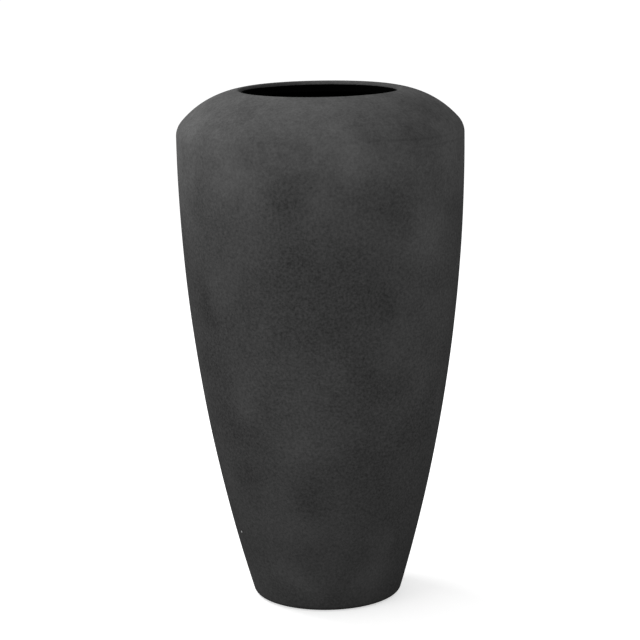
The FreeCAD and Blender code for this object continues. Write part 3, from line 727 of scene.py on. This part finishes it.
def coat_material(name, cloud_strength, grain_strength):
    """The outside finish, with painted light and shade in its tone. It fades out where the lip turns down
    into the mouth.
    """
    material, tree, shader = new_material(name, COAT_GREY, specular=0.0)
    place = object_place(tree)
    parts = split(tree, place)
    coat = add(tree, "ShaderNodeGroup", {
        "Vector": place, "Cloud Strength": cloud_strength, "Grain Strength": grain_strength,
    }, node_tree=stone_coat)
    tone = tone_with_dust_and_painted_light(tree, place, parts, coat.outputs["Tone"])
    # the edges of the joint's filler
    for edge in SEAM_EDGES:
        line = times(tree, seam_edge(tree, place, edge), edge.darkness)
        tone = times(tree, tone, calc(tree, "SUBTRACT", 1.0, line))
    # one small chip through the coat, low on the left
    gap = distance(tree, place, on_the_flank(*CHIP))
    ragged = calc(tree, "MULTIPLY_ADD", cloud(tree, place, *CHIP_EDGE), CHIP_RAGGED, gap)
    tone = calc(tree, "ADD", tone, times(tree, ramp(tree, ragged, *CHIP_SPAN), CHIP_PALE))
    # the coat is a little thin where the lip turns in, and the extra darkening on the left is painted shade,
    # where the lip's inner turn faces away from the light
    radius = calc(tree, "SQRT", calc(tree, "ADD", calc(tree, "POWER", parts["X"], 2.0),
                                     calc(tree, "POWER", parts["Y"], 2.0)))
    on_top = calc(tree, "GREATER_THAN", parts["Z"], TOP_ONLY)
    thin_coat_and_painted_shade = times(tree, ramp(tree, radius, *THIN_COAT_AND_SHADE_RADIUS_SPAN), ramp(tree, parts["X"], *PAINTED_LEFT_LIP_SHADE_SPAN))
    thin_coat_and_painted_shade = times(tree, thin_coat_and_painted_shade, on_top)
    colour = scaled(tree, COAT_GREY, times(tree, tone, calc(tree, "SUBTRACT", 1.0, thin_coat_and_painted_shade)))
    # bare resin inside the mouth, up to a ragged edge, and on the left the black reaches higher up the lip as
    # painted shade
    edge_height = calc(tree, "MULTIPLY_ADD", sway(tree, place, *BARE_EDGE), BARE_RAGGED, parts["Z"])
    edge_height = calc(tree, "SUBTRACT", edge_height, ramp(tree, parts["X"], *PAINTED_LEFT_SHADE_RISE_SPAN))
    bare_resin_and_painted_shade = times(tree, ramp(tree, edge_height, *BARE_HEIGHT_SPAN), ramp(tree, radius, *BARE_RADIUS_SPAN))
    bare_resin_and_painted_shade = times(tree, bare_resin_and_painted_shade, on_top)
    mixed = add(tree, "ShaderNodeMix", {"Factor": bare_resin_and_painted_shade, "A": colour, "B": RESIN_BLACK}, data_type="VECTOR")
    tree.links.new(mixed.outputs["Result"], shader.inputs["Base Color"])
    tree.links.new(coat.outputs["Roughness"], shader.inputs["Roughness"])
    bump(tree, shader, coat.outputs["Height"], COAT_RELIEF)
    return material


def resin_material(name, colour, strand_tone, relief, specular=0.3):
    """The bare side of the laminate: dark resin wetted through chopped strands of glass."""
    material, tree, shader = new_material(name, colour, specular=specular)
    place = object_place(tree)
    strands = result(tree, "ShaderNodeGroup", {"Vector": place}, node_tree=laid_glass)
    blot = cloud(tree, place, *RESIN_BLOTS)
    base = calc(tree, "MULTIPLY_ADD", blot, BLOT_TONE, BLOT_BASE)
    tone = calc(tree, "MULTIPLY_ADD", strands, strand_tone, base)
    tree.links.new(scaled(tree, colour, tone), shader.inputs["Base Color"])
    tree.links.new(ramp(tree, blot, *RESIN_ROUGHNESS_SPAN), shader.inputs["Roughness"])
    bump(tree, shader, strands, relief)
    return material


def rubber_material():
    """The bung's black rubber, with a faint pale bloom."""
    material, tree, shader = new_material("bung_rubber", RUBBER_BLACK, specular=0.15)
    place = object_place(tree)
    bloom = cloud(tree, place, *RUBBER_BLOOM)
    tree.links.new(scaled(tree, RUBBER_BLACK, ramp(tree, bloom, *BLOOM_SPAN)), shader.inputs["Base Color"])
    tree.links.new(ramp(tree, bloom, *RUBBER_ROUGHNESS_SPAN), shader.inputs["Roughness"])
    bump(tree, shader, cloud(tree, place, *RUBBER_GRAIN), RUBBER_RELIEF)
    return material


coat_finish = coat_material("sanded_coat", cloud_strength=1.1, grain_strength=1.42)
filler_finish = coat_material("sanded_coat_over_filler", cloud_strength=1.05, grain_strength=1.3)
inside_finish = resin_material("bare_resin", RESIN_BLACK, strand_tone=0.5, relief=0.0003, specular=0.06)
mat_finish = resin_material("glass_mat_in_resin", (0.006, 0.006, 0.0058), strand_tone=1.6, relief=0.0005)
roving_finish = resin_material("roving_in_resin", (0.008, 0.008, 0.0075), strand_tone=0.8, relief=0.0002)
rubber_finish = rubber_material()

# ============================================================
# The pieces
# ============================================================

SEAM_STRETCH = 0.012
KNEE_STRETCH = 0.2
MAT_RIM_WIDTH = 0.003

turned = turned_tree()


def body_profile():
    """The lower moulding, from the foot's inner edge round the outside and back through the inside."""
    seam_start = -SEAM_STRETCH / flank_radius
    low = at(flank_centre, flank_radius, groove_low_angle)
    p = Profile()
    p.line((foot_inner, 0), (FOOT_RADIUS, 0), ROW_FLAT, SANDED_TRUE)
    p.arc(heel_centre, HEEL_RADIUS, -math.pi / 2, heel_angle, ROW_HEEL, SANDED_HEEL)
    p.arc(flank_centre, flank_radius, heel_angle, seam_start, ROW_FLANK, SANDED)
    p.arc(flank_centre, flank_radius, seam_start, groove_low_angle, ROW_SEAM, SANDED)
    p.lay(low[0], low[1], math.cos(groove_low_angle), math.sin(groove_low_angle), SANDED)
    p.line(groove_root, inner_ring, ROW_FLAT, BARE_TRUE)
    p.arc(flank_centre, flank_radius - WALL, 0, heel_angle, ROW_FLANK_INSIDE, BARE_TRUE)
    p.arc(heel_centre, HEEL_RADIUS - WALL, heel_angle, -math.pi / 2, ROW_KNEE, BARE_TRUE)
    p.line((FOOT_RADIUS, WALL), (foot_inner, WALL), ROW_FLAT, BARE_TRUE)
    p.arc(corner_centre, KICK_CORNER, -math.pi / 2, step_angle - math.tau, ROW_SEAM, BARE_TRUE)
    p.line(at(corner_centre, KICK_CORNER, step_angle), at(fillet_centre, KICK_FILLET + WALL, KICK_DRAFT),
           ROW_STEP, BARE_TRUE)
    p.arc(fillet_centre, KICK_FILLET + WALL, KICK_DRAFT, math.pi / 2, ROW_KNEE, BARE_TRUE)
    p.line((panel_edge, KICK_DEPTH + WALL), (DRAIN_RADIUS, KICK_DEPTH + WALL), ROW_PANEL, BARE_TRUE)
    p.line((DRAIN_RADIUS, KICK_DEPTH + WALL), (DRAIN_RADIUS, KICK_DEPTH), ROW_STEP, BARE_TRUE)
    p.line((DRAIN_RADIUS, KICK_DEPTH), (panel_edge, KICK_DEPTH), ROW_PANEL, SANDED_TRUE)
    p.arc(fillet_centre, KICK_FILLET, math.pi / 2, KICK_DRAFT, ROW_HEEL, SANDED_TRUE)
    p.line(at(fillet_centre, KICK_FILLET, KICK_DRAFT), at(corner_centre, corner_outer, step_angle),
           ROW_STEP, SANDED_TRUE)
    p.arc(corner_centre, corner_outer, step_angle, 1.5 * math.pi, ROW_HEEL, SANDED_TRUE)
    return p


def shoulder_profile():
    """The upper moulding, from the parting plane over the dome and the lip, and back under them."""
    collar_end = lip_centre[1] - LIP_RETURN
    knee_start = groove_high_angle + KNEE_STRETCH
    edge_centre = (MOUTH_RADIUS + LIP_EDGE, collar_end + LIP_EDGE)
    p = Profile()
    p.line(inner_ring, groove_root, ROW_FLAT, BARE_TRUE)
    p.line(groove_root, at(knee_centre, KNEE_RADIUS, groove_high_angle), ROW_FLAT, BARE_TRUE)
    p.arc(knee_centre, KNEE_RADIUS, groove_high_angle, knee_start, ROW_SEAM, SANDED)
    p.arc(knee_centre, KNEE_RADIUS, knee_start, knee_angle, ROW_KNEE, SANDED)
    p.arc(dome_centre, DOME_RADIUS, knee_angle, lip_angle, ROW_DOME, SANDED)
    p.arc(lip_centre, lip_radius, lip_angle, math.pi, ROW_LIP, SANDED_LIP)
    p.line((MOUTH_RADIUS, lip_centre[1]), (MOUTH_RADIUS, collar_end + LIP_EDGE), ROW_SHORT, SANDED_TRUE)
    p.arc(edge_centre, LIP_EDGE, math.pi, 1.5 * math.pi, ROW_EDGE, SANDED_TRUE)
    p.line((MOUTH_RADIUS + LIP_EDGE, collar_end), (MOUTH_RADIUS + WALL, collar_end), ROW_SHORT, BARE_TRUE)
    p.line((MOUTH_RADIUS + WALL, collar_end), (MOUTH_RADIUS + WALL, lip_centre[1]), ROW_STEP, BARE_TRUE)
    p.arc(lip_centre, ROVING_RADIUS, math.pi, lip_angle, ROW_LIP, BARE_TRUE)
    p.arc(dome_centre, DOME_RADIUS - WALL, lip_angle, knee_angle, ROW_DOME_INSIDE, BARE_TRUE)
    p.arc(knee_centre, KNEE_RADIUS - WALL, knee_angle, 0, ROW_MAT, BARE_TRUE)
    return p


def filler_profile():
    """The filler in the joint's groove, flush with both mouldings."""
    high = at(knee_centre, KNEE_RADIUS, groove_high_angle)
    p = Profile()
    p.arc(flank_centre, flank_radius, groove_low_angle, 0, ROW_SEAM, SANDED)
    p.arc(knee_centre, KNEE_RADIUS, 0, groove_high_angle, ROW_SEAM, SANDED)
    p.lay(high[0], high[1], math.cos(groove_high_angle), math.sin(groove_high_angle), SANDED)
    p.lay(groove_root[0], groove_root[1], -1.0, 0.0, BARE_TRUE)
    return p


def band_profile():
    """The mat strip over the joint, inside, with feathered edges."""
    flank_seat = flank_radius - WALL
    knee_seat = KNEE_RADIUS - WALL
    dome_seat = DOME_RADIUS - WALL
    flank_face = flank_seat - BAND_THICKNESS
    knee_face = knee_seat - BAND_THICKNESS
    dome_face = dome_seat - BAND_THICKNESS
    drop = -math.asin(BAND_DROP / flank_seat)
    drop_face = -math.asin((BAND_DROP - BAND_FEATHER) / flank_face)
    end = knee_angle + 2 * math.asin(BAND_PAST_KNEE / (2 * dome_seat))
    end_face = knee_angle + 2 * math.asin((BAND_PAST_KNEE - BAND_FEATHER) / (2 * dome_face))
    p = Profile()
    p.arc(flank_centre, flank_seat, drop, 0, ROW_PANEL, BARE_TRUE)
    p.arc(knee_centre, knee_seat, 0, knee_angle, ROW_FLAT, BARE_TRUE)
    p.arc(dome_centre, dome_seat, knee_angle, end, ROW_PANEL, BARE_TRUE)
    p.feather(at(dome_centre, dome_seat, end), at(dome_centre, dome_face, end_face), ROW_SHORT)
    p.arc(dome_centre, dome_face, end_face, knee_angle, ROW_MAT, OPEN_MAT)
    p.arc(knee_centre, knee_face, knee_angle, 0, ROW_MAT, OPEN_MAT)
    p.arc(flank_centre, flank_face, 0, drop_face, ROW_MAT, OPEN_MAT)
    p.line(at(flank_centre, flank_face, drop_face), at(flank_centre, flank_seat, drop),
           ROW_SHORT, MAT_FEATHER)
    return p


def ply_profile():
    """The extra mat on the floor, with a feathered edge."""
    floor_top = KICK_DEPTH + WALL
    outer = panel_edge - PLY_MARGIN
    upper = outer - PLY_THICKNESS * math.tan(PLY_FEATHER)
    top = floor_top + PLY_THICKNESS
    rim = DRAIN_RADIUS + MAT_RIM_WIDTH
    p = Profile()
    p.line((DRAIN_RADIUS, floor_top), (outer, floor_top), ROW_MAT_SEAT, BARE_TRUE)
    p.feather((outer, floor_top), (upper, top), ROW_KNEE)
    p.line((upper, top), (rim, top), ROW_MAT, OPEN_MAT)
    p.line((rim, top), (DRAIN_RADIUS, top), ROW_KNEE, MAT_RIM)
    p.line((DRAIN_RADIUS, top), (DRAIN_RADIUS, floor_top), ROW_SHORT, BARE_TRUE)
    return p


def plug_profile():
    """The rubber bung, from its grip up to its nose, with the radius of each corner."""
    seat = KICK_DEPTH
    shank = DRAIN_RADIUS - PLUG_CLEARANCE
    under = seat - FLANGE_THICKNESS
    grip_top = under - NECK_LENGTH
    grip_under = grip_top - GRIP_THICKNESS
    nose = seat + WALL + PLUG_TAPER_LENGTH
    corners = (
        ((0.0, grip_under), 0),
        ((GRIP_RADIUS, grip_under), 0.002),
        ((GRIP_RADIUS, grip_top), 0.002),
        ((NECK_RADIUS, grip_top), 0.0007),
        ((NECK_RADIUS, under), 0.0007),
        ((FLANGE_RADIUS, under), 0.0012),
        ((FLANGE_RADIUS, seat), 0.0012),
        ((shank, seat), 0),
        ((shank, seat + WALL), 0),
        ((PLUG_NOSE_RADIUS, nose), 0.0015),
        ((0.0, nose), 0),
    )
    return turned_corners([place for place, _ in corners], [radius for _, radius in corners], ROW_HEEL)


def turned_piece(name, profile, coat, inside, segments, unevenness=0.0, patch=0.15, ripple=0.0, groove=0.0,
                 seed=1.0):
    """One piece turned from its profile."""
    return baked(name, profile.mesh(name + "_profile"), turned, {
        "Segments": segments, "Unevenness": unevenness, "Patch Size": patch, "Ripple": ripple,
        "Seed": seed, "Groove Depth": groove, "Coat": coat, "Inside": inside,
    })


LAMINATE = {"segments": 256, "unevenness": 0.0003, "patch": 0.16, "groove": 0.0002}

lower = turned_piece("lower_laminate", body_profile(), coat_finish, inside_finish, **LAMINATE)
dress(lower, "planter", "body_shell")
upper = turned_piece("upper_laminate", shoulder_profile(), coat_finish, inside_finish, **LAMINATE)
dress(upper, "planter", "shoulder_shell")
filler = turned_piece("filler_ring", filler_profile(), filler_finish, inside_finish, **LAMINATE)
dress(filler, "planter", "joint_filler")
band = turned_piece("mat_strip", band_profile(), mat_finish, mat_finish, segments=256,
                    unevenness=0.0006, patch=0.03, ripple=0.0008, seed=3.0)
dress(band, "planter", "joint_band")
ply = turned_piece("floor_mat", ply_profile(), mat_finish, mat_finish, segments=160,
                   unevenness=0.0005, patch=0.03, ripple=0.0007, seed=4.0)
dress(ply, "planter", "base_reinforcement")
bung = turned_piece("rubber_bung", plug_profile(), rubber_finish, rubber_finish, segments=96)
dress(bung, "drain_plug", "drain_plug")

# the roving's lay and strands, as shares of its own radius, and how finely they are drawn
LAY_SHARE = 0.645
STRAND_SHARE = 0.345
CORE_STEPS = 240
STRAND_SIDES = 8


def roving_tree():
    """Strands of glass twisted round a straight one, and round the mouth."""
    tree = bpy.data.node_groups.new("twisted_roving", "GeometryNodeTree")
    interface(tree, (
        ("Geometry", "NodeSocketGeometry", "INPUT", None),
        ("Ring Radius", "NodeSocketFloat", "INPUT", 0.159),
        ("Ring Height", "NodeSocketFloat", "INPUT", 0.99),
        ("Lay Radius", "NodeSocketFloat", "INPUT", 0.0026),
        ("Strand Radius", "NodeSocketFloat", "INPUT", 0.0013),
        ("Strands", "NodeSocketInt", "INPUT", 6),
        ("Twists", "NodeSocketInt", "INPUT", 30),
        ("Steps", "NodeSocketInt", "INPUT", 480),
        ("Material", "NodeSocketMaterial", "INPUT", None),
        ("Geometry", "NodeSocketGeometry", "OUTPUT", None),
    ))
    given = tree.nodes.new("NodeGroupInput").outputs

    def circle(points, radius):
        return result(tree, "GeometryNodeCurvePrimitiveCircle", {"Resolution": points, "Radius": radius})

    def laid(way):
        """How far a strand lies to one side of the ring's own line."""
        return times(tree, given["Lay Radius"], calc(tree, way, wind))

    many = add(tree, "GeometryNodeDuplicateElements",
               {"Geometry": circle(given["Steps"], 1.0), "Amount": given["Strands"]}, domain="SPLINE")
    spot = split(tree, result(tree, "GeometryNodeInputPosition"))
    turn = calc(tree, "ARCTAN2", spot["Y"], spot["X"])
    share = calc(tree, "DIVIDE", many.outputs["Duplicate Index"], given["Strands"])
    wind = calc(tree, "ADD", times(tree, turn, given["Twists"]),
                times(tree, share, math.tau))
    radius = calc(tree, "ADD", given["Ring Radius"], laid("COSINE"))
    place = joined(tree, times(tree, radius, calc(tree, "COSINE", turn)),
                   times(tree, radius, calc(tree, "SINE", turn)),
                   calc(tree, "ADD", given["Ring Height"], laid("SINE")))
    strands = result(tree, "GeometryNodeSetPosition",
                     {"Geometry": many.outputs["Geometry"], "Position": place})
    core = result(tree, "GeometryNodeTransform", {
        "Geometry": circle(CORE_STEPS, given["Ring Radius"]),
        "Translation": joined(tree, 0.0, 0.0, given["Ring Height"]),
    })
    both = tree.nodes.new("GeometryNodeJoinGeometry")
    tree.links.new(strands, both.inputs[0])
    tree.links.new(core, both.inputs[0])
    body = result(tree, "GeometryNodeCurveToMesh", {
        "Curve": both.outputs[0], "Profile Curve": circle(STRAND_SIDES, given["Strand Radius"]),
    })
    smooth = result(tree, "GeometryNodeSetShadeSmooth", {"Geometry": body, "Shade Smooth": True})
    real = result(tree, "GeometryNodeRealizeInstances", {"Geometry": smooth})
    done = result(tree, "GeometryNodeSetMaterial", {"Geometry": real, "Material": given["Material"]})
    return ended(tree, done)


roving = baked("roving_ring", bpy.data.meshes.new("roving_ring_source"), roving_tree(), {
    "Ring Radius": lip_centre[0], "Ring Height": lip_centre[1], "Lay Radius": ROVING_RADIUS * LAY_SHARE,
    "Strand Radius": ROVING_RADIUS * STRAND_SHARE, "Material": roving_finish,
})
dress(roving, "planter", "lip_stiffener")

# ============================================================
# Floor, light and camera
# ============================================================

WHITE = (1, 1, 1, 1)
FLOOR_GREY = (0.8, 0.8, 0.8)
FLOOR_GLOW = 0.55
ROOM_STRENGTH = 0.63
BACKDROP_STRENGTH = 1.0


def white_rays(tree):
    """1 where the eye, a reflection or glass looks at the pale floor or the backdrop."""
    path = tree.nodes.new("ShaderNodeLightPath").outputs
    return calc(tree, "MAXIMUM", path["Is Camera Ray"],
                calc(tree, "MAXIMUM", path["Is Glossy Ray"], path["Is Transmission Ray"]))


def floor_material():
    """Pale floor: white to the eye and in reflections, with the planter's own soft shadow kept."""
    material, tree, shader = new_material("studio_floor", FLOOR_GREY, roughness=0.9, specular=0.0)
    glow = result(tree, "ShaderNodeEmission", {"Color": WHITE, "Strength": FLOOR_GLOW})
    lit = result(tree, "ShaderNodeAddShader", {0: shader.outputs[0], 1: glow})
    pick = result(tree, "ShaderNodeMixShader", {0: white_rays(tree), 1: shader.outputs[0], 2: lit})
    clear = result(tree, "ShaderNodeBsdfTransparent")
    below = add(tree, "ShaderNodeNewGeometry").outputs["Backfacing"]
    final = result(tree, "ShaderNodeMixShader", {0: below, 1: pick, 2: clear})
    tree.links.new(final, tree.nodes["Material Output"].inputs["Surface"])
    return material


# The floor is open under the foot, where it can't be seen, so the underside isn't in a sealed dark space.
FLOOR_REACH = 40.0
FLOOR_LAP = 0.0005
FLOOR_OPENING = FOOT_RADIUS - FLOOR_LAP
FLOOR_SIDES = 96
rings = [(r * math.cos(math.tau * k / FLOOR_SIDES), r * math.sin(math.tau * k / FLOOR_SIDES), 0)
         for r in (FLOOR_OPENING, FLOOR_REACH) for k in range(FLOOR_SIDES)]
faces = [(k, k + FLOOR_SIDES, (k + 1) % FLOOR_SIDES + FLOOR_SIDES, (k + 1) % FLOOR_SIDES)
         for k in range(FLOOR_SIDES)]
floor_mesh = bpy.data.meshes.new("studio_floor")
floor_mesh.from_pydata(rings, [], faces)
floor_mesh.materials.append(floor_material())
floor = bpy.data.objects.new("studio_floor", floor_mesh)
bpy.context.scene.collection.objects.link(floor)

world = bpy.data.worlds.new("studio")
bpy.context.scene.world = world
world.use_nodes = True
sky = world.node_tree
sky.nodes.clear()
room = result(sky, "ShaderNodeBackground", {"Color": WHITE, "Strength": ROOM_STRENGTH})
backdrop = result(sky, "ShaderNodeBackground", {"Color": WHITE, "Strength": BACKDROP_STRENGTH})
both = result(sky, "ShaderNodeMixShader", {0: white_rays(sky), 1: room, 2: backdrop})
sky.links.new(both, add(sky, "ShaderNodeOutputWorld").inputs["Surface"])

# the soft lights: name, place, the height that each aims at, side and power in watts
LIGHTS = (
    ("overhead", (-1.5, 0.0, 3.1), 0.9, 2.5, 12),
    ("left_key", (-2.0, 1.7, 3.0), 0.8, 2.0, 80),
    ("left_fill", (-2.4, -2.2, 2.6), 0.7, 2.0, 23),
)
for light_name, light_place, aim_height, side, watts in LIGHTS:
    light_data = bpy.data.lights.new(light_name, "AREA")
    light_data.shape = "RECTANGLE"
    light_data.size = side
    light_data.size_y = side
    light_data.energy = watts
    lamp = bpy.data.objects.new(light_name, light_data)
    lamp.location = light_place
    aim = Vector((0, 0, aim_height)) - Vector(light_place)
    lamp.rotation_euler = aim.to_track_quat("-Z", "Y").to_euler()
    bpy.context.scene.collection.objects.link(lamp)

# The camera is measured from the photograph's outline: a long lens, looking a little down.
CAMERA_PLACE = (0.0, -4.32087, 1.43535)
CAMERA_DOWN = 0.20257
CAMERA_TURN = -0.00152
CAMERA_ROLL = -0.01683
FOCAL_PIXELS = 2257.914
FRAME_PIXELS = 640.0
SENSOR_WIDTH = 36.0
FAR_CLIP = 100.0

camera_data = bpy.data.cameras.new("camera")
camera_data.sensor_width = SENSOR_WIDTH
camera_data.lens = FOCAL_PIXELS * SENSOR_WIDTH / FRAME_PIXELS
camera_data.clip_end = FAR_CLIP
camera = bpy.data.objects.new("camera", camera_data)
ahead = Vector((math.sin(CAMERA_TURN) * math.cos(CAMERA_DOWN), math.cos(CAMERA_TURN) * math.cos(CAMERA_DOWN),
                -math.sin(CAMERA_DOWN)))
right = Vector((math.cos(CAMERA_TURN), -math.sin(CAMERA_TURN), 0))
upward = right.cross(ahead)
right_rolled = right * math.cos(CAMERA_ROLL) + upward * math.sin(CAMERA_ROLL)
up_rolled = upward * math.cos(CAMERA_ROLL) - right * math.sin(CAMERA_ROLL)
facing = Matrix((right_rolled, up_rolled, -ahead)).transposed()
camera.matrix_world = Matrix.Translation(CAMERA_PLACE) @ facing.to_4x4()
bpy.context.scene.collection.objects.link(camera)
bpy.context.scene.camera = camera

bpy.context.scene.view_settings.view_transform = "Standard"
